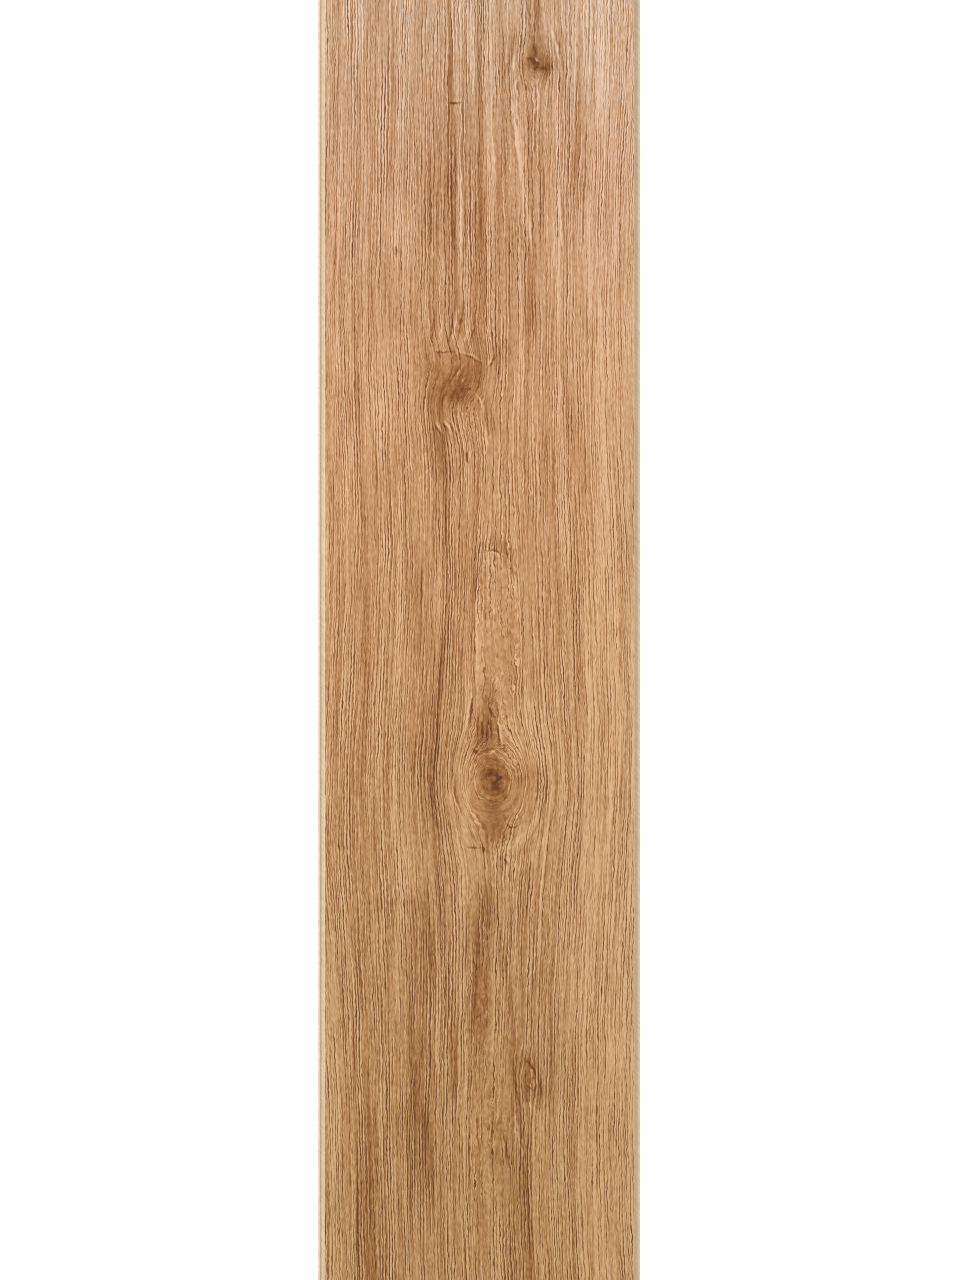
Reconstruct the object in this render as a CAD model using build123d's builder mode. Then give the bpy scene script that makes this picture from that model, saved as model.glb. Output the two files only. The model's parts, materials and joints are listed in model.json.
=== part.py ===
"""Laminate floor plank with click-lock edges all round, in millimetres.

The decor face is up, the length runs along Y and the width along X. The origin is on the
underside, below the middle of the decor face. The tongue edges face +X and +Y, and the
grooved edges, with their locking lips, face -X and -Y.
"""

import os
from math import radians, tan

from build123d import *

# Board
FACE_LENGTH = 1285.0  # decor face, edge to edge
FACE_WIDTH = 192.0
THICKNESS = 8.0
FACE_EDGE_EASE = 0.25  # sharp decor edges, just eased

# Click joint, set out from the underside, on the long edges and the ends alike
LIP_THICKNESS = 2.4  # lower lip, from the underside up to the tongue
TONGUE_THICKNESS = 3.0
TONGUE_REACH = 3.6  # past the decor edge
LIP_REACH = 4.4  # past the decor edge
HOOK_RISE = 0.9  # of the hook at the lip's end
HOOK_WIDTH = 1.5  # of the hook's flat top
LOCK_ANGLE = 50.0  # of the locking faces, from the floor
FIT_PLAY = 0.05  # between the faces that guide the tongue and lock the hook
DUST_POCKET = 0.25  # at the tongue's tip, and over and behind the hook

# Corner radii of the joint
ROOT_RADIUS = 0.3  # where the tongue leaves the board
TIP_TOP_RADIUS = 0.6
TIP_UNDER_RADIUS = 1.8  # lets the tongue angle into the groove
LONG_HOOK_RADIUS = 0.3
END_HOOK_RADIUS = 0.35  # the ends have a cutter of their own

# Blank before its edges are milled, past the decor face on every side
MILLING_ALLOWANCE = 10.0


def joint_corners(edge, play, pocket):
    """Corners of the joint line at a decor edge, from the decor face round the tongue to the underside.

    The tongue's line has no play or pocket. The groove's line is the same one moved clear of the tongue.
    """
    tongue_top = LIP_THICKNESS + TONGUE_THICKNESS + play
    tongue_tip = edge + TONGUE_REACH + pocket
    lip_top = LIP_THICKNESS - play
    lip_end = edge - LIP_REACH + pocket
    hook_top = LIP_THICKNESS + HOOK_RISE - pocket
    lock_slope = tan(radians(LOCK_ANGLE))
    lock_head = edge - LIP_REACH + HOOK_WIDTH - play

    def lock_face(height):
        return lock_head + (LIP_THICKNESS + HOOK_RISE - height) / lock_slope

    return [
        (edge, THICKNESS),
        (edge, tongue_top),
        (tongue_tip, tongue_top),
        (tongue_tip, lip_top),
        (lock_face(lip_top), lip_top),
        (lock_face(hook_top), hook_top),
        (lip_end, hook_top),
        (lip_end, 0),
    ]


def board_section(face, hook_radius):
    """Section of the board across a pair of edges: what lies between the groove's line and the tongue's."""
    radii = [ROOT_RADIUS, TIP_TOP_RADIUS, TIP_UNDER_RADIUS, hook_radius, hook_radius, hook_radius]
    with BuildSketch() as section:
        with BuildLine():
            groove = FilletPolyline(*joint_corners(-face / 2, FIT_PLAY, DUST_POCKET), radius=radii)
            tongue = FilletPolyline(*joint_corners(face / 2, 0, 0), radius=radii)
            Line(groove @ 0, tongue @ 0)
            Line(groove @ 1, tongue @ 1)
        make_face()
    return section.sketch


with BuildPart() as plank:
    # Each pair of edges is milled right across the blank, so the board is where the two runs overlap.
    with BuildSketch(Plane.XZ):
        add(board_section(FACE_WIDTH, LONG_HOOK_RADIUS))
    extrude(amount=FACE_LENGTH / 2 + MILLING_ALLOWANCE, both=True)
    with BuildSketch(Plane.YZ):
        add(board_section(FACE_LENGTH, END_HOOK_RADIUS))
    extrude(amount=FACE_WIDTH / 2 + MILLING_ALLOWANCE, both=True, mode=Mode.INTERSECT)

    # Where a lip runs into a tongue edge it is cut back, flush with the underside there.
    with BuildSketch():
        with Locations((FACE_WIDTH / 2 - LIP_REACH, -FACE_LENGTH / 2)):
            Rectangle(LIP_REACH + MILLING_ALLOWANCE, MILLING_ALLOWANCE, align=(Align.MIN, Align.MAX))
        with Locations((-FACE_WIDTH / 2, FACE_LENGTH / 2 - LIP_REACH)):
            Rectangle(MILLING_ALLOWANCE, LIP_REACH + MILLING_ALLOWANCE, align=(Align.MAX, Align.MIN))
    extrude(amount=THICKNESS, mode=Mode.SUBTRACT)

    decor_face = plank.faces().sort_by(Axis.Z)[-1]
    chamfer(decor_face.edges(), length=FACE_EDGE_EASE)

plank.part.label = "plank"

os.makedirs("parts", exist_ok=True)
export_step(plank.part, "parts/plank.step")
print("solids", len(plank.part.solids()), "volume", plank.part.volume, "box", plank.part.bounding_box())
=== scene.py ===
"""Looks of the laminate floor plank: its embossed oak decor, milled fibreboard edges and backing paper."""

import functools
import json
import math

import bpy
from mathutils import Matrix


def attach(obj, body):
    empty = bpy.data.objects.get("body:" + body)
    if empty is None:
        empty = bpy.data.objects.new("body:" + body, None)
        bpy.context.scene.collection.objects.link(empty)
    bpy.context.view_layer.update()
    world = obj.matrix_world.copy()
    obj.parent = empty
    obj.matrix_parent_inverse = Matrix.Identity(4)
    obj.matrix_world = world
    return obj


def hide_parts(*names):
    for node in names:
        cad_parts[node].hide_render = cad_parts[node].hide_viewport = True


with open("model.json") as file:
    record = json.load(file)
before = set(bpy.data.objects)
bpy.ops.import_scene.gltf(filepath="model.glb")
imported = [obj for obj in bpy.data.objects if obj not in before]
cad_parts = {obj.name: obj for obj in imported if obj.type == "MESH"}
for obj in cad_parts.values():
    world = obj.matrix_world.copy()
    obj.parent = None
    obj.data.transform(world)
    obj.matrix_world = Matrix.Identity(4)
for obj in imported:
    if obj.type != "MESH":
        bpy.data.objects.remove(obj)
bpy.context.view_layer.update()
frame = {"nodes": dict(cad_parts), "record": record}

MM = 0.001
FAR_AWAY = 1e6
SHADER = "ShaderNodeTree"
GEOMETRY = "GeometryNodeTree"

# The photograph's height, and the decor face's width in it
PHOTO_HEIGHT_PX = 1280
FACE_WIDTH_PX = 310.0

# The board, in metres, from its stated faces
MOUNTS = {mount["name"]: mount["pos_m"] for mount in frame["record"]["mounts"]}
FACE_HALF_WIDTH = MOUNTS["long_tongue"][0]
THICKNESS = MOUNTS["decor_face"][2]
METRES_PER_PIXEL = 2 * FACE_HALF_WIDTH / FACE_WIDTH_PX
PHOTO_LENGTH = PHOTO_HEIGHT_PX * METRES_PER_PIXEL  # of the board that the photograph shows

# The embossed grid on the decor face
EMBOSS_DEPTH = 0.08 * MM
EMBOSS_FADE = 4.0 * MM  # over which it sinks in from the face's edge
EMBOSS_COLUMNS = 240
EMBOSS_ROWS = 400
WELD = 0.001 * MM

# What the embossed mesh holds at each point: its place across and along the grain in millimetres,
# how fast the grain's lines follow each other there, the figure's tone, and how far the pores thin out
FIGURE = ("grain", "along", "spread", "tone", "calm")
LEAST_SPREAD = 0.15

# Zones of the decor face, each with a finish for its own lines: name, and start along in millimetres
ZONES = (("Lower Decor", -700.0), ("Knot Decor", -150.0), ("Swirl Decor", 100.0), ("Upper Decor", 225.0))

# UV map for baking, in shares of the picture
BAKE_MARGIN = 0.01
BAKE_STRIP = 0.3  # from the strip of the decor face's upper half to that of its lower half
BAKE_UNDERSIDE = 0.7  # middle of the underside
BAKE_EDGES = 0.79  # start of the edges
BAKE_EDGES_WIDTH = 0.8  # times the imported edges' own
DECOR_PER_METRE = 1.52
UNDERSIDE_PER_METRE = 0.76

# Studio, in metres and watts
FLOOR_SIZE = 12.0
FLOOR_GAP = 0.5 * MM  # under the board, so that the two don't share one plane
FLOOR_GLOW = 0.5
SKY_STRENGTH = 0.7
LAMP_PLACE = (-4.4, 2.4, 4.0)
LAMP_SIZE = 2.4
LAMP_POWER = 230.0
CAMERA_HEIGHT = 4.0


def srgb(red, green, blue):
    """Linear colour, with alpha, of a display colour given in 0 to 255."""

    def linear(level):
        share = level / 255
        return share / 12.92 if share <= 0.04045 else ((share + 0.055) / 1.055) ** 2.4

    return (linear(red), linear(green), linear(blue), 1.0)


class Field:
    """A value that varies over a surface, worked out by nodes in one tree."""

    def __init__(self, tree, socket):
        self.tree = tree
        self.socket = socket

    def math(self, operation, *others):
        node = self.tree.nodes.new("ShaderNodeMath")
        node.operation = operation
        for slot, value in zip(node.inputs, (self, *others)):
            feed(self.tree, slot, value)
        return Field(self.tree, node.outputs[0])

    def __add__(self, other):
        return self.math("ADD", other)

    def __sub__(self, other):
        return self.math("SUBTRACT", other)

    def __mul__(self, other):
        return self.math("MULTIPLY", other)

    def __truediv__(self, other):
        return self.math("DIVIDE", other)

    __radd__ = __add__
    __rmul__ = __mul__

    def __rsub__(self, other):
        return self * -1 + other

    def squared(self):
        return self * self

    def times_plus(self, factor, term):
        """This times a factor, plus a term, in one node."""
        return self.math("MULTIPLY_ADD", factor, term)

    def bell(self):
        """1 at zero, falling off to both sides."""
        return (self.squared() * -1).math("EXPONENT")

    def step(self, low, high):
        """0 below low and 1 above high, smooth between them. With low above high it falls instead."""
        node = self.tree.nodes.new("ShaderNodeMapRange")
        node.interpolation_type = "SMOOTHSTEP"
        feed(self.tree, node.inputs["Value"], self)
        feed(self.tree, node.inputs["From Min"], low)
        feed(self.tree, node.inputs["From Max"], high)
        return Field(self.tree, node.outputs["Result"])


def feed(tree, slot, value):
    """Links a field to an input socket, or sets the socket to a plain value."""
    if isinstance(value, Field):
        tree.links.new(value.socket, slot)
    else:
        slot.default_value = value


def add_node(tree, kind, **inputs):
    """A new node with its inputs fed, by their names in lower case."""
    node = tree.nodes.new(kind)
    for name, value in inputs.items():
        feed(tree, node.inputs[name.replace("_", " ").title()], value)
    return node


def vector(*parts):
    """A vector field from its parts, of which one or more are fields."""
    tree = next(part.tree for part in parts if isinstance(part, Field))
    node = tree.nodes.new("ShaderNodeCombineXYZ")
    for slot, value in zip(node.inputs, parts):
        feed(tree, slot, value)
    return Field(tree, node.outputs[0])


def parts_of(place):
    """The x, y and z of a vector field."""
    node = place.tree.nodes.new("ShaderNodeSeparateXYZ")
    feed(place.tree, node.inputs[0], place)
    return [Field(place.tree, slot) for slot in node.outputs]


def noise(across, along, width, length, seed, detail=0.0):
    """Smooth noise from 0 to 1, with streaks about width wide and length long."""
    tree = across.tree
    place = vector(across / width, along / length, seed)
    node = add_node(tree, "ShaderNodeTexNoise", vector=place, scale=1.0, detail=detail, lacunarity=2.17)
    return Field(tree, node.outputs[0])


def swing(across, along, reach, **streaks):
    """Smooth noise about zero that swings over a reach."""
    return (noise(across, along, **streaks) - 0.5) * reach


def new_group(name, kind, inputs, outputs, colours=()):
    """An empty node group with number inputs, number outputs and colour outputs, and its inputs by name."""
    tree = bpy.data.node_groups.new(name, kind)
    for socket in inputs:
        tree.interface.new_socket(socket, in_out="INPUT", socket_type="NodeSocketFloat")
    for socket in outputs:
        tree.interface.new_socket(socket, in_out="OUTPUT", socket_type="NodeSocketFloat")
    for socket in colours:
        tree.interface.new_socket(socket, in_out="OUTPUT", socket_type="NodeSocketColor")
    source = tree.nodes.new("NodeGroupInput")
    return tree, {slot.name: Field(tree, slot) for slot in source.outputs if slot.name}


def close_group(tree, *results):
    """Links the results to the group's outputs, in order."""
    sink = tree.nodes.new("NodeGroupOutput")
    for slot, value in zip(sink.inputs, results):
        feed(tree, slot, value)
    return tree


def place_group(group, tree, **inputs):
    """Puts a node group in a tree and gives its outputs as fields, in order."""
    node = tree.nodes.new("ShaderNodeGroup" if tree.bl_idname == SHADER else "GeometryNodeGroup")
    node.node_tree = group
    for name, value in inputs.items():
        feed(tree, node.inputs[name.replace("_", " ").title()], value)
    results = [Field(tree, slot) for slot in node.outputs if slot.name]
    return results if len(results) > 1 else results[0]


# Knots and lenses that part the grain: across and along from the middle of the face, radius, stretch
# along, and how far they part it. At 1 no line runs through, and the grain inside closes into rings.
# These tables and the next ones are in millimetres.
KNOTS = (
    (34.0, 358.0, 6.0, 1.6, 0.6),
    (11.0, 4.0, 14.0, 4.0, 0.4),
    (9.0, -87.5, 16.5, 1.3, 1.0),
    (30.5, -274.0, 5.0, 2.0, 0.4),
)

# Swirls that turn the grain: across, along, radius, and turn in radians
SWIRLS = ((-14.0, 157.0, 20.0, 0.6),)

# Soft shades of the figure: start across and along, end across and along, bow, half width, and change of tone
SHADES = (
    # Margins
    (76.0, 660.0, 76.0, -660.0, 0.0, 16.0, 0.15),
    (84.0, 205.0, 83.0, 80.0, 0.0, 6.0, 0.06),
    (95.0, 660.0, 95.0, -660.0, 0.0, 6.0, 0.07),
    (-89.0, 660.0, -89.0, -660.0, 0.0, 11.0, 0.02),
    (-90.0, -170.0, -90.0, -660.0, 0.0, 6.0, 0.10),
    # Upper part
    (-2.5, 560.0, -0.5, 300.0, 0.0, 2.2, -0.15),
    (-0.5, 300.0, 2.5, 185.0, 0.0, 2.2, -0.13),
    (7.0, 420.0, 6.5, 240.0, 0.0, 2.2, 0.12),
    (-21.0, 540.0, -17.0, 290.0, 0.0, 1.7, -0.18),
    (-17.0, 290.0, -13.5, 195.0, 0.0, 1.9, -0.20),
    (-12.5, 291.0, -11.0, 205.0, 0.0, 1.5, 0.14),
    (-7.0, 280.0, -6.5, 200.0, 0.0, 1.3, 0.10),
    (-29.0, 300.0, -28.5, 195.0, 0.0, 5.0, -0.09),
    (-25.0, 300.0, -24.0, 215.0, 0.0, 1.3, 0.10),
    (-12.0, 340.0, -12.0, 190.0, 0.0, 16.0, -0.05),
    (-66.0, 420.0, -65.0, 210.0, 0.0, 3.0, -0.08),
    (-53.0, 275.0, -53.0, 235.0, 0.0, 12.0, 0.07),
    (-53.0, 190.0, -53.0, 120.0, 0.0, 12.0, 0.08),
    (62.0, 345.0, 62.0, 270.0, 0.0, 8.0, -0.09),
    (30.0, 362.0, 44.0, 352.0, 0.0, 6.0, -0.46),
    (33.5, 410.0, 34.5, 366.0, 0.0, 4.0, -0.24),
    (36.0, 374.0, 35.0, 340.0, 0.0, 11.0, -0.11),
    (19.0, 380.0, 20.0, 320.0, 0.0, 4.0, -0.10),
    (22.5, 334.0, 26.0, 285.0, 0.0, 2.4, 0.14),
    (26.0, 290.0, 33.0, 245.0, 0.0, 2.2, 0.12),
    (34.0, 330.0, 37.0, 230.0, 0.0, 4.0, -0.12),
    (28.0, 254.0, 34.0, 192.0, 0.0, 6.0, -0.12),
    (47.5, 346.0, 47.5, 210.0, 1.5, 2.4, 0.12),
    # Swirl
    (12.0, 185.0, -27.0, 141.0, 0.0, 11.0, -0.15),
    (-25.0, 177.0, -21.0, 147.0, 0.0, 11.0, -0.10),
    (-3.0, 172.0, -16.0, 148.0, 0.0, 9.0, -0.13),
    (-7.0, 153.0, -17.0, 147.0, 0.0, 6.0, -0.16),
    (-31.0, 190.0, -31.0, 112.0, 0.0, 6.0, -0.08),
    (2.0, 152.0, 8.0, 128.0, 0.0, 4.0, -0.15),
    (-25.0, 132.0, -24.0, 100.0, 0.0, 7.0, -0.10),
    # Long dark vein on the left
    (-24.0, 137.0, -20.0, 12.0, 2.5, 2.4, -0.20),
    (-20.0, 12.0, -26.0, -137.0, -4.5, 2.6, -0.23),
    (-26.0, -137.0, -14.5, -290.0, 1.0, 2.6, -0.20),
    (-36.0, 60.0, -35.0, -12.0, 0.0, 9.0, -0.10),
    (-38.0, -31.0, -38.0, -120.0, 0.0, 7.0, -0.08),
    (-50.5, 87.0, -50.5, -50.0, 0.0, 1.8, 0.15),
    # Lens
    (-3.0, 22.0, 1.0, 59.0, 1.5, 2.6, -0.16),
    (1.0, 60.0, 21.0, 50.0, 4.0, 2.6, -0.15),
    (22.0, 45.0, 22.0, 10.0, 0.0, 7.0, 0.07),
    (50.5, 192.0, 58.0, 60.0, 0.0, 2.0, -0.12),
    (59.5, 66.0, 63.0, -50.0, 0.0, 2.0, -0.14),
    # Large knot
    (4.0, -29.0, 3.0, -62.0, 0.0, 8.0, -0.09),
    (3.0, -54.0, 10.5, -126.0, 1.5, 7.0, -0.22),
    (9.0, -80.0, 9.5, -95.0, 0.0, 8.0, -0.18),
    (-5.0, -75.0, -7.0, -165.0, -2.0, 5.0, 0.12),
    (30.0, -37.0, 30.0, -78.0, 0.0, 9.0, 0.13),
    (13.0, -131.0, 41.0, -100.0, -4.0, 3.0, 0.16),
    (18.0, -143.0, 43.0, -116.0, -4.0, 2.4, 0.14),
    # Lower part
    (4.0, -152.0, -2.0, -245.0, 0.0, 6.5, -0.19),
    (10.0, -161.0, 24.0, -256.0, -1.0, 1.7, -0.16),
    (28.0, -256.0, 34.0, -286.0, 0.0, 7.0, -0.15),
    (25.0, -285.0, 36.0, -420.0, -1.5, 1.9, -0.16),
    (-36.0, -165.0, -38.0, -350.0, 0.0, 11.0, -0.15),
    (-30.0, -182.0, -28.0, -225.0, 0.0, 2.5, -0.14),
    (-42.0, -225.0, -40.0, -300.0, 0.0, 2.5, -0.14),
    (-34.0, -290.0, -31.0, -345.0, 0.0, 2.5, -0.12),
    (-67.0, -164.0, -30.0, -164.0, 0.0, 5.0, -0.07),
    (-66.0, -285.0, -67.0, -560.0, 0.0, 9.0, -0.09),
    (46.0, -290.0, 46.0, -390.0, 0.0, 7.0, 0.09),
)

# Places where the pores thin out: across, along, half width, half length, and how far
CALM_PLACES = (
    (12.0, 0.0, 15.0, 46.0, 0.3),
    (8.0, -92.0, 20.0, 30.0, 0.7),
    (9.4, -88.0, 5.0, 5.0, 0.8),
    (3.0, -48.0, 9.0, 16.0, 0.4),
    (2.0, -225.0, 6.0, 28.0, 0.6),
    (8.0, -300.0, 10.0, 50.0, 0.7),
    (-10.0, 158.0, 16.0, 15.0, 0.6),
    (-25.0, 164.0, 10.0, 18.0, 0.5),
    (22.0, 300.0, 12.0, 60.0, 0.3),
    (34.0, 356.0, 9.0, 12.0, 0.35),
)

# Single lines of the print: start across and along, end across and along, bow, half width, and change of
# tone.
# # A light line laid close beside a dark one is in part a painted highlight on the edge of the embossed
# groove.
STROKES = (
    # Upper part, with the small knot and the short mark beside it
    (-20.5, 332.3, -10.5, 332.8, 0.0, 1.2, -0.70),
    (28.5, 361.0, 36.0, 356.5, 1.0, 1.2, -0.45),
    (33.0, 372.0, 34.5, 358.0, 0.5, 1.8, -0.35),
    (31.5, 360.5, 37.0, 355.5, 0.0, 2.4, -0.35),
    (34.0, 361.5, 37.5, 357.5, 0.0, 0.9, 0.45),
    (32.5, 353.0, 37.0, 355.0, 0.0, 1.0, -0.60),
    (36.5, 355.0, 44.0, 353.5, 0.0, 1.4, -0.40),
    (37.2, 420.0, 36.2, 366.0, 0.0, 0.9, -0.32),
    (29.8, 410.0, 31.2, 366.0, 0.0, 0.9, -0.32),
    (25.5, 352.0, 21.0, 334.0, -1.0, 1.0, 0.32),
    (21.5, 364.0, 15.0, 345.0, -1.5, 1.0, -0.30),
    (-51.5, 246.0, -51.5, 236.5, 0.0, 1.0, -0.60),
    (34.4, 430.0, 35.3, 370.0, 0.0, 1.0, -0.40),
    (32.4, 430.0, 33.3, 372.0, 0.0, 0.9, 0.30),
    (41.4, 386.0, 51.5, 346.0, 1.5, 1.0, 0.32),
    (43.4, 386.0, 53.5, 344.0, 1.5, 0.9, -0.30),
    (23.2, 386.0, 19.0, 350.0, 0.0, 0.9, -0.30),
    # Light lines that run down from the small knot
    (21.6, 370.0, 20.3, 338.0, 0.0, 1.1, 0.32),
    (20.3, 342.0, 27.2, 281.0, -1.0, 1.1, 0.38),
    (27.0, 285.0, 33.0, 228.0, 1.0, 1.1, 0.36),
    (18.6, 340.0, 25.4, 281.0, -1.0, 0.9, -0.30),
    (29.2, 285.0, 34.8, 228.0, 1.0, 0.9, -0.30),
    (49.2, 358.0, 48.4, 281.0, -0.5, 1.0, 0.32),
    (48.4, 285.0, 51.5, 240.0, 0.0, 1.0, 0.36),
    (50.2, 285.0, 53.2, 240.0, 0.0, 0.9, -0.28),
    (7.6, 318.0, 10.0, 281.0, 0.0, 1.0, 0.28),
    # Bundle between the short mark and the swirl
    (-13.3, 330.0, -12.1, 227.0, 0.8, 1.1, 0.42),
    (-18.3, 400.0, -18.3, 314.0, 0.0, 0.9, -0.38),
    (-18.3, 318.0, -16.4, 262.0, 0.0, 0.9, -0.38),
    (-15.2, 330.0, -14.4, 262.0, 0.0, 0.9, -0.42),
    (-20.3, 290.0, -19.3, 232.0, 0.0, 1.0, 0.34),
    (-17.3, 276.0, -15.6, 230.0, 0.0, 0.9, -0.36),
    (-9.2, 290.0, -8.5, 228.0, 0.0, 0.9, -0.40),
    (-6.3, 262.0, -6.5, 228.0, 0.0, 1.0, 0.30),
    (-3.1, 290.0, -1.5, 228.0, 0.0, 1.0, -0.30),
    (0.2, 280.0, 0.9, 238.0, 0.0, 1.0, -0.30),
    (-31.4, 315.0, -30.6, 230.0, 0.5, 0.9, -0.32),
    (-28.4, 290.0, -28.8, 230.0, 0.0, 1.0, 0.30),
    (-24.5, 315.0, -26.3, 240.0, 0.0, 0.9, -0.32),
    # Bundle that runs down into the swirl
    (-13.0, 213.0, -18.5, 180.5, 1.0, 1.1, 0.34),
    (-4.5, 203.0, -12.5, 179.0, 1.0, 1.0, 0.32),
    (-22.0, 206.0, -25.0, 181.0, 0.0, 1.0, 0.30),
    (-15.0, 214.0, -20.5, 180.0, 1.0, 1.0, -0.45),
    (-9.5, 212.0, -16.0, 178.5, 1.0, 1.0, -0.45),
    (-2.0, 206.0, -9.0, 176.0, 1.5, 1.0, -0.40),
    (-27.0, 210.0, -30.0, 180.0, 0.0, 1.0, -0.40),
    # Swirl
    (-31.5, 178.0, -13.0, 178.0, 0.5, 1.0, -0.35),
    (-13.5, 176.5, 3.0, 169.0, 2.0, 1.0, -0.35),
    (-13.5, 178.0, 3.5, 170.5, 2.0, 0.9, 0.26),
    (4.5, 168.0, 9.5, 178.5, -1.5, 1.0, -0.45),
    (3.0, 168.5, 8.0, 178.5, -1.5, 0.9, 0.40),
    (-9.5, 173.0, -19.5, 156.5, -0.5, 1.0, -0.28),
    (-8.0, 173.0, -18.0, 156.5, -0.5, 0.9, 0.20),
    (-6.5, 172.0, -15.0, 157.0, -0.5, 0.9, -0.25),
    (-19.5, 157.0, -25.0, 138.0, -0.5, 1.2, -0.25),
    (-6.5, 163.5, -11.0, 155.5, -2.0, 0.9, 0.40),
    (-10.5, 155.0, -3.0, 154.0, 1.0, 1.0, -0.40),
    (-4.5, 155.0, 3.0, 138.0, 2.0, 1.1, 0.42),
    (2.8, 142.0, 4.5, 112.0, 0.3, 1.0, 0.34),
    (3.5, 150.0, 5.5, 118.0, 0.5, 1.0, -0.40),
    # Lines that fan out under the swirl
    (-29.0, 136.0, -23.5, 125.0, 0.5, 1.0, -0.40),
    (-27.5, 137.0, -22.0, 126.0, 0.5, 0.9, 0.35),
    (-24.0, 137.0, -19.0, 126.0, 0.5, 1.0, -0.40),
    (-22.5, 137.0, -17.5, 126.5, 0.5, 0.9, 0.40),
    (-20.5, 137.0, -15.5, 126.5, 0.5, 1.0, -0.40),
    (-18.5, 136.5, -14.0, 127.0, 0.5, 0.9, 0.35),
    (-16.0, 136.0, -12.0, 127.5, 0.5, 1.0, -0.35),
    (-7.5, 119.0, -7.5, 108.5, 0.0, 1.0, -0.90),
    (-6.0, 118.0, -6.0, 110.0, 0.0, 0.9, 0.35),
    # Lens over the large knot
    (-3.0, 23.5, 2.0, 55.0, 1.0, 1.1, -0.35),
    (2.0, 55.0, 16.0, 49.5, 3.0, 1.0, -0.40),
    (2.5, 53.5, 15.0, 48.0, 3.0, 0.9, 0.30),
    (16.0, 49.5, 24.0, 34.0, 1.5, 1.0, -0.35),
    (-3.0, 23.5, -3.5, -31.0, 0.0, 1.0, -0.40),
    (-1.5, 20.0, -2.0, -30.0, 0.0, 0.9, 0.30),
    # Funnel between the lens and the large knot
    (5.0, -38.0, 10.0, -50.0, -0.5, 1.1, -0.50),
    (10.0, -49.0, 12.5, -68.0, 0.5, 1.1, -0.55),
    (11.5, -48.5, 14.0, -67.0, 0.5, 0.9, 0.45),
    (12.5, -67.0, 5.0, -73.0, -0.8, 0.9, 0.40),
    (-5.5, -29.5, -10.5, -62.0, 1.0, 1.1, 0.50),
    (-4.0, -30.0, -9.0, -62.0, 1.0, 1.0, -0.45),
    (-1.0, -41.0, -1.0, -67.0, 0.0, 0.9, -0.34),
    (2.0, -43.0, 2.0, -66.0, 0.0, 0.9, -0.34),
    (4.5, -46.0, 4.5, -68.0, 0.0, 0.9, -0.30),
    (7.0, -45.0, 7.5, -65.0, 0.0, 0.9, -0.30),
    (-5.0, -67.0, 0.0, -71.0, 0.0, 1.6, -0.50),
    # Large knot, its crack and the lines round it
    (9.5, -88.0, 14.5, -84.0, 0.0, 1.1, -0.95),
    (6.0, -89.0, 12.5, -88.0, 0.0, 5.5, -0.26),
    (-14.0, -80.0, -7.5, -111.5, -4.0, 1.0, -0.45),
    (-15.3, -80.0, -8.8, -112.0, -4.0, 0.9, 0.35),
    (-7.5, -111.0, 1.0, -131.0, -1.0, 0.9, -0.35),
    (30.5, -62.0, 30.0, -116.0, 6.0, 0.9, -0.22),
    (26.0, -70.0, 25.0, -104.0, 5.0, 0.9, -0.20),
    (38.0, -65.0, 25.0, -132.0, 9.0, 0.9, -0.22),
    (14.5, -107.0, 28.0, -111.0, -7.5, 0.9, -0.50),
    (2.5, -127.5, 2.7, -132.5, 0.0, 1.1, -0.85),
    (16.3, -135.0, 16.8, -139.5, 0.0, 1.0, -0.85),
    (17.6, -134.0, 17.8, -138.5, 0.0, 0.8, 0.60),
    (-10.5, -126.5, 2.0, -128.5, -1.0, 1.0, -0.40),
    # Lower part, with the curl
    (26.5, -259.0, 35.5, -272.5, 2.0, 1.0, -0.40),
    (21.5, -256.5, 26.5, -292.5, -2.0, 1.0, -0.40),
    (36.0, -265.0, 37.0, -292.5, 1.5, 1.1, -0.40),
    (27.5, -274.0, 34.0, -280.0, 0.0, 1.0, -0.35),
    (14.5, -302.5, 19.0, -329.5, 0.0, 1.0, -0.45),
    (21.5, -291.0, 29.0, -333.0, 0.0, 1.0, 0.35),
    (-76.0, -316.0, -75.5, -400.0, 0.0, 1.0, -0.35),
)

# Rings in the knots: centre across and along, radius, stretch along, half width, and change of tone
HOOPS = (
    (9.4, -88.0, 7.6, 1.05, 0.7, -0.10),
    (9.2, -89.0, 10.2, 1.1, 0.8, -0.08),
    (9.0, -91.0, 14.6, 1.15, 0.7, -0.06),
)


@functools.cache
def grain_round_knot():
    """Parts the grain's lines round a knot, as a stream round a stone. A full parting has rings inside."""
    tree, given = new_group(
        "grain_round_knot",
        GEOMETRY,
        ["Grain", "X", "Y", "Centre X", "Centre Y", "Radius", "Stretch", "Parting"],
        ["Grain"],
    )
    aside = given["X"] - given["Centre X"]
    ahead = (given["Y"] - given["Centre Y"]) / given["Stretch"]
    far = aside.squared() + ahead.squared()
    near = given["Radius"].squared()
    parted = given["Grain"] - given["Parting"] * aside * near / far.math("MAXIMUM", near)
    inside = (given["Radius"] - far.math("SQRT")).math("MAXIMUM", 0.0)
    return close_group(tree, parted + inside * given["Parting"].math("FLOOR"))


@functools.cache
def grain_twist():
    """Turns the grain about a point, fully at the point and less with distance."""
    tree, given = new_group(
        "grain_twist", GEOMETRY, ["X", "Y", "Centre X", "Centre Y", "Radius", "Turn"], ["X", "Y"]
    )
    aside = given["X"] - given["Centre X"]
    ahead = given["Y"] - given["Centre Y"]
    far = (aside.squared() + ahead.squared()) / given["Radius"].squared()
    turn = given["Turn"] * (far * -1).math("EXPONENT")
    cosine = turn.math("COSINE")
    sine = turn.math("SINE")
    return close_group(
        tree,
        given["Centre X"] + aside * cosine - ahead * sine,
        given["Centre Y"] + aside * sine + ahead * cosine,
    )


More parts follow.
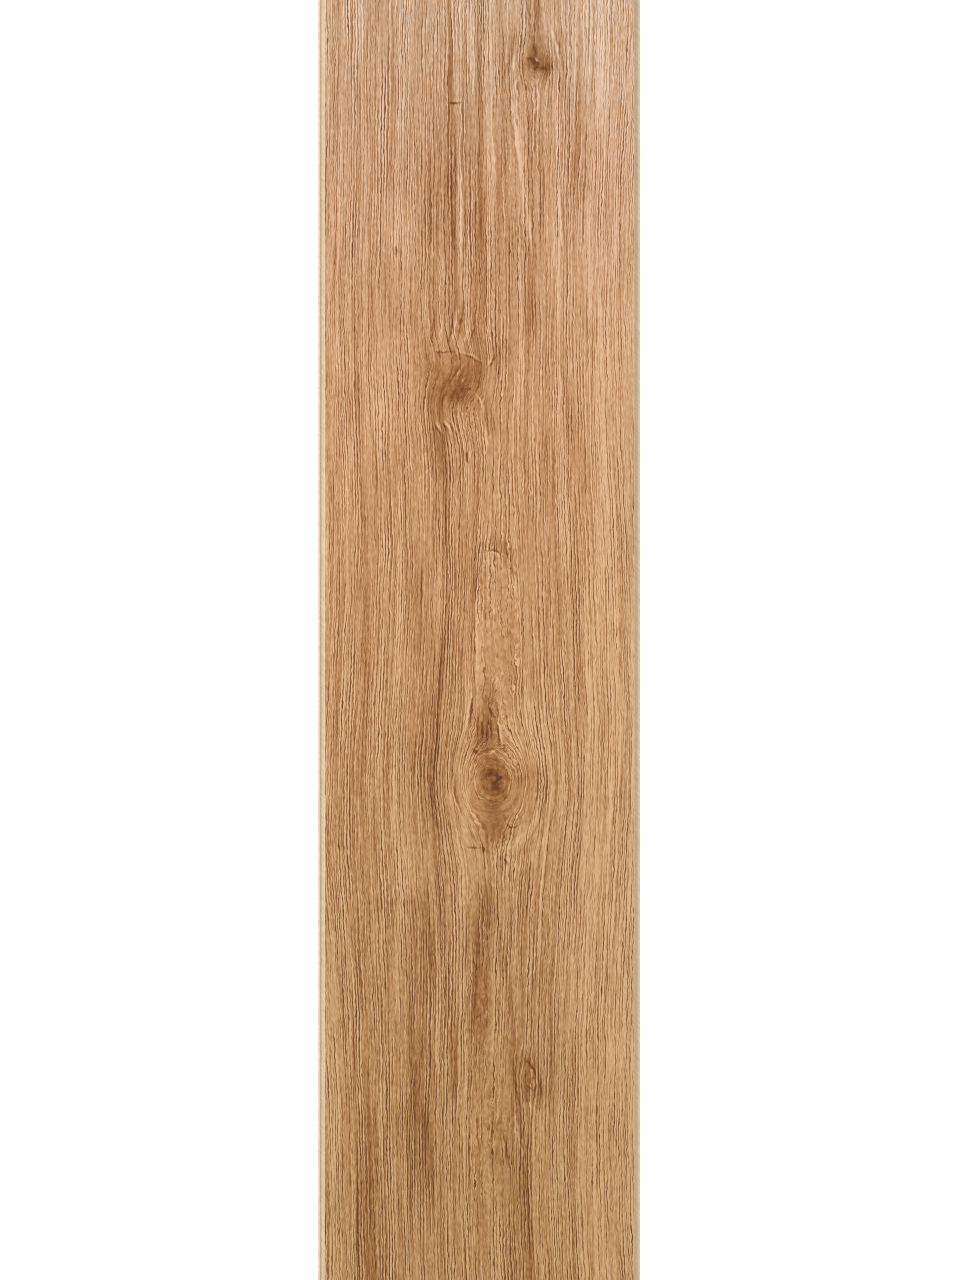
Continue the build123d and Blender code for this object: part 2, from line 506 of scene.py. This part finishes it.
@functools.cache
def soft_patch():
    """A patch that is 1 at its centre and fades out over its half width and half length."""
    tree, given = new_group(
        "soft_patch",
        GEOMETRY,
        ["X", "Y", "Centre X", "Centre Y", "Half Width", "Half Length"],
        ["Strength"],
    )
    aside = ((given["X"] - given["Centre X"]) / given["Half Width"]).squared()
    ahead = ((given["Y"] - given["Centre Y"]) / given["Half Length"]).squared()
    return close_group(tree, ((aside + ahead) * -1).math("EXPONENT"))


@functools.cache
def soft_shade():
    """A bowed stroke that is 1 along its middle and fades out to its sides and ends."""
    tree, given = new_group(
        "soft_shade",
        GEOMETRY,
        ["X", "Y", "Middle X", "Middle Y", "Cosine", "Sine", "Half Length", "Bow", "Half Width"],
        ["Strength"],
    )
    aside = given["X"] - given["Middle X"]
    ahead = given["Y"] - given["Middle Y"]
    run = (aside * given["Cosine"] + ahead * given["Sine"]) / given["Half Length"]
    off = ahead * given["Cosine"] - aside * given["Sine"] - given["Bow"] * (1.0 - run.squared())
    return close_group(tree, (off / given["Half Width"]).bell() * run.math("ABSOLUTE").step(1.25, 0.75))


def patches(tree, x, y, places):
    """Sum of soft patches, each times its own strength."""
    total = 0.0
    for centre_x, centre_y, half_width, half_length, strength in places:
        total = total + strength * place_group(
            soft_patch(),
            tree,
            x=x,
            y=y,
            centre_x=centre_x,
            centre_y=centre_y,
            half_width=half_width,
            half_length=half_length,
        )
    return total


def shades(tree, x, y, lines):
    """Sum of soft shades, each times its own strength."""
    total = 0.0
    for start_x, start_y, end_x, end_y, bow, half_width, strength in lines:
        length = math.dist((start_x, start_y), (end_x, end_y))
        total = total + strength * place_group(
            soft_shade(),
            tree,
            x=x,
            y=y,
            middle_x=(start_x + end_x) / 2,
            middle_y=(start_y + end_y) / 2,
            cosine=(end_x - start_x) / length,
            sine=(end_y - start_y) / length,
            half_length=length / 2,
            bow=bow,
            half_width=half_width,
        )
    return total


@functools.cache
def oak_figure():
    """The oak's figure at a point of the face: place across and along its grain, tone and calm."""
    tree, given = new_group("oak_figure", GEOMETRY, ["X", "Y"], ["Grain", "Along", "Tone", "Calm"])
    x = given["X"]
    y = given["Y"]
    for centre_x, centre_y, radius, turn in SWIRLS:
        x, y = place_group(
            grain_twist(), tree, x=x, y=y, centre_x=centre_x, centre_y=centre_y, radius=radius, turn=turn
        )
    wander = swing(x, y, reach=16.0, width=110.0, length=260.0, seed=3.1)
    waver = swing(x, y, reach=3.0, width=12.0, length=36.0, seed=7.7, detail=2.0)
    grain = x + wander + waver
    for centre_x, centre_y, radius, stretch, parting in KNOTS:
        grain = place_group(
            grain_round_knot(),
            tree,
            grain=grain,
            x=x,
            y=y,
            centre_x=centre_x,
            centre_y=centre_y,
            radius=radius,
            stretch=stretch,
            parting=parting,
        )
    calm = patches(tree, given["X"], given["Y"], CALM_PLACES)
    wide_bands = swing(grain, y, reach=0.25, width=11.0, length=380.0, seed=2.2, detail=2.0)
    narrow_bands = swing(grain, y, reach=0.25, width=3.0, length=150.0, seed=12.4)
    bands = (wide_bands + narrow_bands) * (1.0 - calm * 0.7)
    # Combed along the grain, so that the shades have streaky rims
    comb = swing(grain, y, reach=7.0, width=1.5, length=150.0, seed=8.8)
    combed = shades(tree, given["X"] + waver + comb, given["Y"], SHADES)
    return close_group(tree, grain, y, bands + combed * 0.85, calm)


def made(tree, kind, **inputs):
    """First output of a new node with its inputs fed."""
    return Field(tree, add_node(tree, kind, **inputs).outputs[0])


def joined(tree, *pieces):
    """Geometry of several pieces in one."""
    node = tree.nodes.new("GeometryNodeJoinGeometry")
    for piece in pieces:
        tree.links.new(piece.socket, node.inputs[0])
    return Field(tree, node.outputs[0])


def on_faces(value):
    """A number as each face has it."""
    node = add_node(value.tree, "GeometryNodeFieldOnDomain", value=value)
    node.domain = "FACE"
    return Field(value.tree, node.outputs[0])


def chosen(choice, place, other):
    """One vector where a choice holds, and the other elsewhere."""
    node = choice.tree.nodes.new("GeometryNodeSwitch")
    node.input_type = "VECTOR"
    for slot, value in zip(node.inputs, (choice, other, place)):
        feed(choice.tree, slot, value)
    return Field(choice.tree, node.outputs[0])


def plank_tree(sizes, counts, finishes):
    """An empty tree for the board, its named inputs as fields, and their values by identifier."""
    tree = bpy.data.node_groups.new("embossed_plank", GEOMETRY)
    tree.interface.new_socket("Geometry", in_out="INPUT", socket_type="NodeSocketGeometry")
    settings = {}
    for values, kind in ((sizes, "Float"), (counts, "Int"), (finishes, "Material")):
        for name, value in values.items():
            socket = tree.interface.new_socket(name, in_out="INPUT", socket_type="NodeSocket" + kind)
            settings[socket.identifier] = value
    tree.interface.new_socket("Geometry", in_out="OUTPUT", socket_type="NodeSocketGeometry")
    source = tree.nodes.new("NodeGroupInput")
    given = {slot.name: Field(tree, slot) for slot in source.outputs if slot.name}
    return tree, given, settings


def figure_at(tree, x, y):
    """The figure that the mesh holds at a place in metres, by name."""
    across = x / MM
    up = y / MM
    grain, along, tone, calm = place_group(oak_figure(), tree, x=across, y=up)
    aside = place_group(oak_figure(), tree, x=across + 1.0, y=up)[0] - grain
    ahead = place_group(oak_figure(), tree, x=across, y=up + 1.0)[0] - grain
    spread = (aside.squared() + ahead.squared()).math("SQRT").math("MAXIMUM", LEAST_SPREAD)
    return dict(zip(FIGURE, (grain, along, spread, tone, calm)))


def open_board(tree, given, height):
    """The solid without its decor face and the eased edge round that."""
    board = made(tree, "GeometryNodeMergeByDistance", geometry=given["Geometry"], distance=given["Weld"])
    board = made(tree, "GeometryNodeSetShadeSmooth", geometry=board, shade_smooth=False)
    on_face = on_faces(height).math("GREATER_THAN", given["Thickness"] - given["Ease"] * 0.75)
    node = add_node(tree, "GeometryNodeDeleteGeometry", geometry=board, selection=on_face)
    node.domain = "FACE"
    return Field(tree, node.outputs[0])


def flat_grid(tree, given):
    """A level grid of the decor face's size."""
    return made(
        tree,
        "GeometryNodeMeshGrid",
        size_x=given["Half Width"] * 2,
        size_y=given["Half Length"] * 2,
        vertices_x=given["Columns"],
        vertices_y=given["Rows"],
    )


def eased_edge(tree, given, board, grid, position, inward):
    """The slope from the open board up to the grid on the decor face."""
    # An open edge has one face
    open_edge = made(tree, "GeometryNodeInputMeshEdgeNeighbors").math("LESS_THAN", 1.5)
    rims = [made(tree, "GeometryNodeMeshToCurve", mesh=mesh, selection=open_edge) for mesh in (board, grid)]
    slope = made(tree, "GeometryNodeFillCurve", curve=joined(tree, *rims))
    slope = made(tree, "GeometryNodeSetShadeSmooth", geometry=slope, shade_smooth=False)
    x, y, _ = position
    height = given["Thickness"] - (inward * -1.0).math("MAXIMUM", 0.0)
    return made(tree, "GeometryNodeSetPosition", geometry=slope, position=vector(x, y, height))


def embossed_face(tree, given, grid, figure, inward):
    """The grid raised to the decor face, with hollows along the grain that fade out at its edge."""
    fade = (inward / given["Fade"]).step(0.0, 1.0)
    hollow = noise(figure["grain"], figure["along"], width=3.6, length=60.0, seed=1.3)
    hollow = hollow * (1.0 - figure["calm"] * 0.6) * fade
    height = given["Thickness"] - given["Depth"] * hollow
    face = made(tree, "GeometryNodeSetPosition", geometry=grid, offset=vector(0.0, 0.0, height))
    return made(tree, "GeometryNodeSetShadeSmooth", geometry=face, shade_smooth=True)


def with_bake_map(tree, given, whole, position, on_top, below):
    """Adds a UV map: the decor face in two strips, the underside beside them, and the edges beside that."""
    x, y, _ = position
    upper = on_faces(y).math("GREATER_THAN", 0.0)
    turn = upper * 2.0 - 1.0
    strip = BAKE_MARGIN + BAKE_STRIP - upper * BAKE_STRIP
    decor_map = vector(
        strip + (x * turn + given["Half Width"]) * DECOR_PER_METRE,
        BAKE_MARGIN + y * turn * DECOR_PER_METRE,
    )
    under_map = vector(BAKE_UNDERSIDE - x * UNDERSIDE_PER_METRE, 0.5 + y * UNDERSIDE_PER_METRE)
    seam = made(tree, "GeometryNodeInputMeshEdgeAngle").math("GREATER_THAN", 0.5)
    edges_only = 1.0 - on_top - below
    pack = add_node(tree, "GeometryNodeUVPackIslands", selection=edges_only)
    feed(tree, pack.inputs["UV"], made(tree, "GeometryNodeUVUnwrap", selection=edges_only, seam=seam))
    edge_u, edge_v, _ = parts_of(Field(tree, pack.outputs[0]))
    edge_map = vector(
        BAKE_EDGES + edge_u * BAKE_EDGES_WIDTH,
        BAKE_MARGIN + edge_v * (1.0 - 2 * BAKE_MARGIN),
    )
    node = tree.nodes.new("GeometryNodeStoreNamedAttribute")
    node.data_type = "FLOAT2"
    node.domain = "CORNER"
    node.inputs["Name"].default_value = "OFBake"
    feed(tree, node.inputs["Geometry"], whole)
    feed(tree, node.inputs["Value"], chosen(on_top, decor_map, chosen(below, under_map, edge_map)))
    return Field(tree, node.outputs[0])


def with_finishes(tree, given, whole, along, on_top, below):
    """Gives the edges, the underside and each zone of the decor face their finishes."""
    whole = made(tree, "GeometryNodeRealizeInstances", geometry=whole)
    whole = made(tree, "GeometryNodeSetMaterial", geometry=whole, material=given["Core"])
    whole = made(tree, "GeometryNodeSetMaterial", geometry=whole, material=given["Backing"], selection=below)
    for name, start in ZONES:
        in_zone = on_top * on_faces(along).math("GREATER_THAN", start * MM)
        whole = made(tree, "GeometryNodeSetMaterial", geometry=whole, material=given[name], selection=in_zone)
    return whole


def plain_mesh(piece, tree, settings):
    """Mesh that a tree of nodes makes of a piece."""
    modifier = piece.modifiers.new(tree.name, "NODES")
    modifier.node_group = tree
    for identifier, value in settings.items():
        modifier[identifier] = value
    ready = bpy.context.evaluated_depsgraph_get()
    mesh = bpy.data.meshes.new_from_object(
        piece.evaluated_get(ready), preserve_all_data_layers=True, depsgraph=ready
    )
    piece.modifiers.clear()
    return mesh


def embossed_plank(solid, decors, core, backing):
    """The board with its embossed decor face, made by nodes from the solid's own faces.

    The decors are the finishes of the zones, by name.
    """
    face_points = [point.co for point in solid.data.vertices if point.co.z > THICKNESS - WELD]
    face_half_width = max(abs(point.x) for point in face_points)
    sizes = {
        "Thickness": THICKNESS,
        "Half Width": face_half_width,
        "Half Length": max(abs(point.y) for point in face_points),
        "Ease": FACE_HALF_WIDTH - face_half_width,
        "Fade": EMBOSS_FADE,
        "Depth": EMBOSS_DEPTH,
        "Weld": WELD,
    }
    counts = {"Columns": EMBOSS_COLUMNS, "Rows": EMBOSS_ROWS}
    finishes = {"Core": core, "Backing": backing, **decors}
    tree, given, settings = plank_tree(sizes, counts, finishes)
    position = parts_of(made(tree, "GeometryNodeInputPosition"))
    x, y, z = position
    from_sides = given["Half Width"] - x.math("ABSOLUTE")
    inward = from_sides.math("MINIMUM", given["Half Length"] - y.math("ABSOLUTE"))
    figure = figure_at(tree, x, y)

    board = open_board(tree, given, z)
    grid = flat_grid(tree, given)
    slope = eased_edge(tree, given, board, grid, position, inward)
    face = embossed_face(tree, given, grid, figure, inward)
    whole = joined(tree, board, slope, face)
    whole = made(tree, "GeometryNodeMergeByDistance", geometry=whole, distance=given["Weld"])
    for name, value in figure.items():
        whole = made(tree, "GeometryNodeStoreNamedAttribute", geometry=whole, name=name, value=value)
    on_top = on_faces(z).math("GREATER_THAN", given["Thickness"] - given["Depth"] * 1.2)
    below = on_faces(z).math("LESS_THAN", given["Weld"])
    whole = with_bake_map(tree, given, whole, position, on_top, below)
    close_group(tree, with_finishes(tree, given, whole, y, on_top, below))

    piece = bpy.data.objects.new("embossed_plank", solid.data.copy())
    bpy.context.scene.collection.objects.link(piece)
    piece.data = plain_mesh(piece, tree, settings)
    slots = piece.data.materials
    unused = [slot for slot, finish in enumerate(slots) if finish not in finishes.values()]
    for slot in reversed(unused):
        slots.pop(index=slot)
    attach(piece, "root")
    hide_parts("plank")
    return piece


def colour_ramp(field, stops):
    """Colour for a number, from stops of place and colour."""
    tree = field.tree
    node = tree.nodes.new("ShaderNodeValToRGB")
    feed(tree, node.inputs[0], field)
    ramp = node.color_ramp
    while len(ramp.elements) < len(stops):
        ramp.elements.new(0.5)
    for element, (place, colour) in zip(ramp.elements, stops):
        element.position = place
        element.color = colour
    return Field(tree, node.outputs["Color"])


def mixed(tree, blend, share, first, second):
    """Two colours blended."""
    node = tree.nodes.new("ShaderNodeMix")
    node.data_type = "RGBA"
    node.blend_type = blend
    feed(tree, node.inputs[0], share)
    feed(tree, node.inputs[6], first)
    feed(tree, node.inputs[7], second)
    return Field(tree, node.outputs[2])


def new_material(name):
    """A material with a Principled BSDF, and its tree and object coordinates."""
    material = bpy.data.materials.new(name)
    material.use_nodes = True
    tree = material.node_tree
    shader = tree.nodes["Principled BSDF"]
    place = tree.nodes.new("ShaderNodeTexCoord")
    return material, tree, shader, Field(tree, place.outputs["Object"])


def attribute(tree, name):
    """A number that the piece's mesh holds at each point."""
    node = tree.nodes.new("ShaderNodeAttribute")
    node.attribute_name = name
    return Field(tree, node.outputs["Fac"])


def bumped(tree, shader, height, strength, distance):
    """Gives a shader fine relief from a height."""
    bump = tree.nodes.new("ShaderNodeBump")
    bump.inputs["Strength"].default_value = strength
    bump.inputs["Distance"].default_value = distance
    feed(tree, bump.inputs["Height"], height)
    tree.links.new(bump.outputs["Normal"], shader.inputs["Normal"])


def mapped(place, centre_x, centre_y, turn, size_x, size_y):
    """A place as seen from a centre, along axes turned by an angle and in units of two sizes."""
    node = add_node(place.tree, "ShaderNodeMapping", vector=place)
    node.vector_type = "TEXTURE"
    node.inputs["Location"].default_value = (centre_x, centre_y, 0.0)
    node.inputs["Rotation"].default_value = (0.0, 0.0, turn)
    node.inputs["Scale"].default_value = (size_x, size_y, 1.0)
    return Field(place.tree, node.outputs[0])


def strokes(tree, place, lines):
    """Sum of single lines, each fading out to its sides and ends, times its own strength."""
    total = 0.0
    for start_x, start_y, end_x, end_y, bow, half_width, strength in lines:
        length = math.dist((start_x, start_y), (end_x, end_y))
        apex_x = (start_x + end_x) / 2 - bow * (end_y - start_y) / length
        apex_y = (start_y + end_y) / 2 + bow * (end_x - start_x) / length
        heading = math.atan2(end_y - start_y, end_x - start_x)
        sides = math.copysign(half_width, bow)
        local = mapped(place, apex_x, apex_y, heading, length / 2, sides)
        if bow:
            bend = length / 2 / math.sqrt(abs(bow) / half_width)
            run = mapped(place, apex_x, apex_y, heading - math.pi / 2, FAR_AWAY, bend)
            node = tree.nodes.new("ShaderNodeVectorMath")
            node.operation = "MULTIPLY_ADD"
            for slot, value in zip(node.inputs, (run, run, local)):
                feed(tree, slot, value)
            local = Field(tree, node.outputs[0])
        spot = add_node(tree, "ShaderNodeTexGradient", vector=local)
        spot.gradient_type = "SPHERICAL"
        total = Field(tree, spot.outputs["Fac"]).times_plus(strength, total)
    return total


def hoops(tree, place, rings):
    """Sum of rings, each fading out to both sides, times its own strength."""
    total = 0.0
    for centre_x, centre_y, radius, stretch, half_width, strength in rings:
        # In units of the radius
        far = tree.nodes.new("ShaderNodeVectorMath")
        far.operation = "LENGTH"
        feed(tree, far.inputs[0], mapped(place, centre_x, centre_y, 0.0, radius, radius * stretch))
        off = Field(tree, far.outputs["Value"]).times_plus(radius / half_width, -radius / half_width)
        total = off.bell().times_plus(strength, total)
    return total


# Broken lines along the grain, one in each lane: pores and ticks of the print, and shine lines of painted
# highlight along the
# # embossed grain, in part also light lines of the print. For each: the lane's width, the line's half width
# and its length in
# # millimetres, a seed, and the level of noise from which a line shows
PORES = (2.2, 0.32, 40.0, 31.7, 0.44)
TICKS = (1.5, 0.26, 18.0, 47.3, 0.46)
SHINE = (2.0, 0.32, 60.0, 58.9, 0.48)
LANE_STRIDE = 7.31  # in the noise, so that lines side by side break at different places

# How far the single lines of the print stray, and the tone between its dark and light marks
LINE_JAG = 2.6
MIDDLE_TONE = 0.68

# Colours of the print, from its darkest tone to its lightest
OAK_TONES = (
    (0.0, srgb(109, 60, 14)),
    (0.25, srgb(145, 95, 44)),
    (0.5, srgb(179, 134, 94)),
    (0.75, srgb(210, 174, 145)),
    (1.0, srgb(238, 210, 192)),
)

# Tint down the plank, from the upper edge of the length the camera frames to its lower one: lighter and
# greyer toward the upper end, in part a painted sheen, in part the print's own tone
OAK_TINT_AND_SHEEN = (
    (0.0, (0.96, 0.95, 0.9, 1.0)),
    (0.125, (0.935, 0.815, 0.68, 1.0)),
    (0.31, (0.92, 0.76, 0.55, 1.0)),
    (0.5, (0.885, 0.73, 0.495, 1.0)),
    (0.75, (0.81, 0.68, 0.44, 1.0)),
    (0.94, (0.745, 0.62, 0.36, 1.0)),
)

# Tint where the pores thin out
CALM_TINT = (0.92, 0.85, 0.68, 1.0)


def lines_with_painted_rims(grain, along, spread, density, pattern):
    """Broken lines along the grain: 1 on a line, less than 0 close beside it, and 0 off it. The dips beside a
    line are painted light and shade on the edges of an embossed groove, in part also the print's sharpened
    edges.
    """
    spacing, half_width, length, seed, level = pattern
    tree = grain.tree
    lane = grain / spacing
    number = lane.math("FLOOR")
    chance = add_node(tree, "ShaderNodeTexWhiteNoise", vector=vector(number, 0.0, seed))
    shift = Field(tree, chance.outputs["Value"])
    # Each line lies by chance in the middle of its lane, between two rims. The rims, unequal on the two
    # sides,
    #     # are painted light and shade on the embossed edges, in part the print's sharpened edges.
    off = (lane - number - 0.3 - shift * 0.4) * (spacing / half_width) / spread
    line = off.bell() - (off - 2.0).bell() * 0.45 - (off + 2.0).bell() * 0.25
    broken = noise(number * LANE_STRIDE, along, width=1.0, length=length, seed=seed)
    shown_from = level - density
    return line * (broken + shift * 0.12).step(shown_from, shown_from + 0.2)


@functools.cache
def print_jitter():
    """How the print's lines stray at a place in millimetres, from -0.5 to 0.5 across and along."""
    tree, given = new_group("print_jitter", SHADER, ["X", "Y"], ["Jag X", "Jag Y"])
    jag_x = noise(given["X"], given["Y"], width=2.2, length=4.5, seed=4.4, detail=2.0) - 0.5
    jag_y = noise(given["X"], given["Y"], width=2.2, length=4.5, seed=6.6, detail=2.0) - 0.5
    return close_group(tree, jag_x, jag_y)


@functools.cache
def oak_print():
    """The grain's relief, roughness and colour, from the figure and the single lines on it. The colour is the
    print with painted highlights along the embossed grain, under a tint down the plank that is in part a
    painted sheen.
    """
    tree, given = new_group(
        "oak_print",
        SHADER,
        ["Grain", "Along", "Spread", "Tone", "Calm", "Y", "Jag X", "Jag Y", "Marks"],
        ["Relief", "Roughness"],
        ["Colour"],
    )
    along = given["Along"]
    spread = given["Spread"]
    calm = given["Calm"]

    # Pores, fibres, speckle and shine lines, which stray more where the pores thin out. The shine lines are
    # painted
    #     # highlights along the embossed grain, in part light lines of the print.
    ragged = given["Grain"] + given["Jag X"] * (calm * 4.0 + 1.6)
    density = swing(given["Grain"], along, reach=0.6, width=8.0, length=90.0, seed=21.0) - calm * 0.25
    pores = lines_with_painted_rims(ragged, along, spread, density, PORES)
    ticks = lines_with_painted_rims(ragged, along, spread, density, TICKS)
    shine = lines_with_painted_rims(ragged, along, spread, density, SHINE)
    fibre = swing(ragged, along, reach=0.4, width=1.2, length=45.0, seed=5.5, detail=1.0)
    speckle = swing(ragged, along, reach=0.34, width=0.7, length=3.0, seed=9.4)
    # Shine lines add painted highlight, and the rims beside the pores and ticks add painted light and shade
    # beside each groove
    streaks = (shine * 0.25 - pores * 0.4 - ticks * 0.3) * (1.0 - calm * 0.6)
    mottle = given["Jag Y"] * calm * 0.6

    # The print grows stronger from the upper end to the lower one
    contrast = (1.25 - given["Y"] * 0.0006).math("MINIMUM", 1.5).math("MAXIMUM", 1.05)
    change = given["Tone"] + streaks + given["Marks"] + fibre + speckle + mottle
    colour = colour_ramp(change.times_plus(contrast, MIDDLE_TONE), OAK_TONES)
    # Tint down the plank: in part a painted sheen that makes the upper end lighter and greyer, in part the
    # print's own tone
    tint_and_sheen = colour_ramp(0.5 - given["Y"] / (PHOTO_LENGTH / MM), OAK_TINT_AND_SHEEN)
    colour = mixed(tree, "MULTIPLY", 1.0, colour, tint_and_sheen)
    colour = mixed(tree, "MULTIPLY", calm, colour, CALM_TINT)
    return close_group(tree, streaks, 0.5 + pores * 0.15, colour)


def oak_decor(name, lines, rings):
    """The printed and embossed oak face, with the single lines and rings of one zone."""
    material, tree, shader, place = new_material(name)
    x, y, _ = parts_of(place)
    x = x / MM
    y = y / MM
    jag_x, jag_y = place_group(print_jitter(), tree, x=x, y=y)
    jagged = vector(x + jag_x * LINE_JAG, y + jag_y * LINE_JAG)
    marks = strokes(tree, jagged, lines) + hoops(tree, jagged, rings)
    figure = {part: attribute(tree, part) for part in FIGURE}
    relief, roughness, colour = place_group(
        oak_print(), tree, y=y, jag_x=jag_x, jag_y=jag_y, marks=marks, **figure
    )
    feed(tree, shader.inputs["Base Color"], colour)
    feed(tree, shader.inputs["Roughness"], roughness)
    shader.inputs["Specular IOR Level"].default_value = 0.35
    bumped(tree, shader, relief, 0.4, 0.1 * MM)
    return material


def zone_decors():
    """The finish of each zone of the decor face, by name, with the lines and rings that start in the zone."""
    decors = {}
    ends = [start for _, start in ZONES[1:]] + [FAR_AWAY]
    for (name, start), end in zip(ZONES, ends):
        lines = [line for line in STROKES if start < line[1] < end]
        rings = [ring for ring in HOOPS if start < ring[1] < end]
        decors[name] = oak_decor(name, lines, rings)
    return decors


@functools.cache
def fibre_mottle():
    """Mottling of pressed fibres, from 0 to 1, with flakes of about a unit."""
    tree, given = new_group("fibre_mottle", SHADER, ["Across", "Along"], ["Mottle"])
    mottle = noise(given["Across"], given["Along"], width=1.0, length=1.0, seed=2.0, detail=3.0)
    return close_group(tree, mottle)


def fibreboard():
    """The milled edges, where the pale core shows."""
    material, tree, shader, place = new_material("fibreboard")
    x, y, z = parts_of(place)
    mottle = place_group(fibre_mottle(), tree, across=(x + y) / (1.5 * MM), along=z / (0.7 * MM))
    colour = colour_ramp(mottle, ((0.2, srgb(214, 190, 156)), (0.8, srgb(238, 220, 192))))
    feed(tree, shader.inputs["Base Color"], colour)
    shader.inputs["Roughness"].default_value = 0.8
    bumped(tree, shader, mottle, 0.3, 0.1 * MM)
    return material


def backing_paper():
    """The resin paper under the board that keeps it flat."""
    material, tree, shader, place = new_material("backing_paper")
    x, y, _ = parts_of(place)
    mottle = place_group(fibre_mottle(), tree, across=x / (3.0 * MM), along=y / (5.0 * MM))
    colour = colour_ramp(mottle, ((0.2, srgb(176, 150, 116)), (0.8, srgb(206, 182, 148))))
    feed(tree, shader.inputs["Base Color"], colour)
    shader.inputs["Roughness"].default_value = 0.6
    bumped(tree, shader, mottle, 0.2, 0.1 * MM)
    return material


def studio():
    """Floor, lights and the camera, which looks straight down as in the photograph."""
    scene = bpy.context.scene
    scene.view_settings.view_transform = "Standard"
    scene.cycles.filter_width = 1.0

    bpy.ops.mesh.primitive_plane_add(size=FLOOR_SIZE, location=(0.0, 0.0, -FLOOR_GAP))
    floor = bpy.context.object
    floor.name = "floor"
    table, _, shader, _ = new_material("light_table")
    shader.inputs["Base Color"].default_value = (0.93, 0.93, 0.93, 1.0)
    shader.inputs["Roughness"].default_value = 0.9
    shader.inputs["Emission Color"].default_value = (1.0, 1.0, 1.0, 1.0)
    shader.inputs["Emission Strength"].default_value = FLOOR_GLOW
    floor.data.materials.append(table)

    world = bpy.data.worlds.new("studio")
    world.use_nodes = True
    sky = world.node_tree.nodes["Background"]
    sky.inputs["Color"].default_value = (1.0, 1.0, 1.0, 1.0)
    sky.inputs["Strength"].default_value = SKY_STRENGTH
    scene.world = world

    lamp = bpy.data.lights.new("softbox", "AREA")
    lamp.shape = "DISK"
    lamp.size = LAMP_SIZE
    lamp.energy = LAMP_POWER
    softbox = bpy.data.objects.new("softbox", lamp)
    softbox.location = LAMP_PLACE
    softbox.rotation_euler = (-softbox.location).to_track_quat("-Z", "Y").to_euler()
    scene.collection.objects.link(softbox)

    lens = bpy.data.cameras.new("camera")
    lens.sensor_fit = "VERTICAL"
    lens.sensor_height = 36.0
    lens.lens = lens.sensor_height * (CAMERA_HEIGHT - THICKNESS) / PHOTO_LENGTH
    lens.clip_end = 50.0
    camera = bpy.data.objects.new("camera", lens)
    camera.location = (0.0, 0.0, CAMERA_HEIGHT)
    scene.collection.objects.link(camera)
    scene.camera = camera


embossed_plank(frame["nodes"]["plank"], zone_decors(), fibreboard(), backing_paper())
studio()
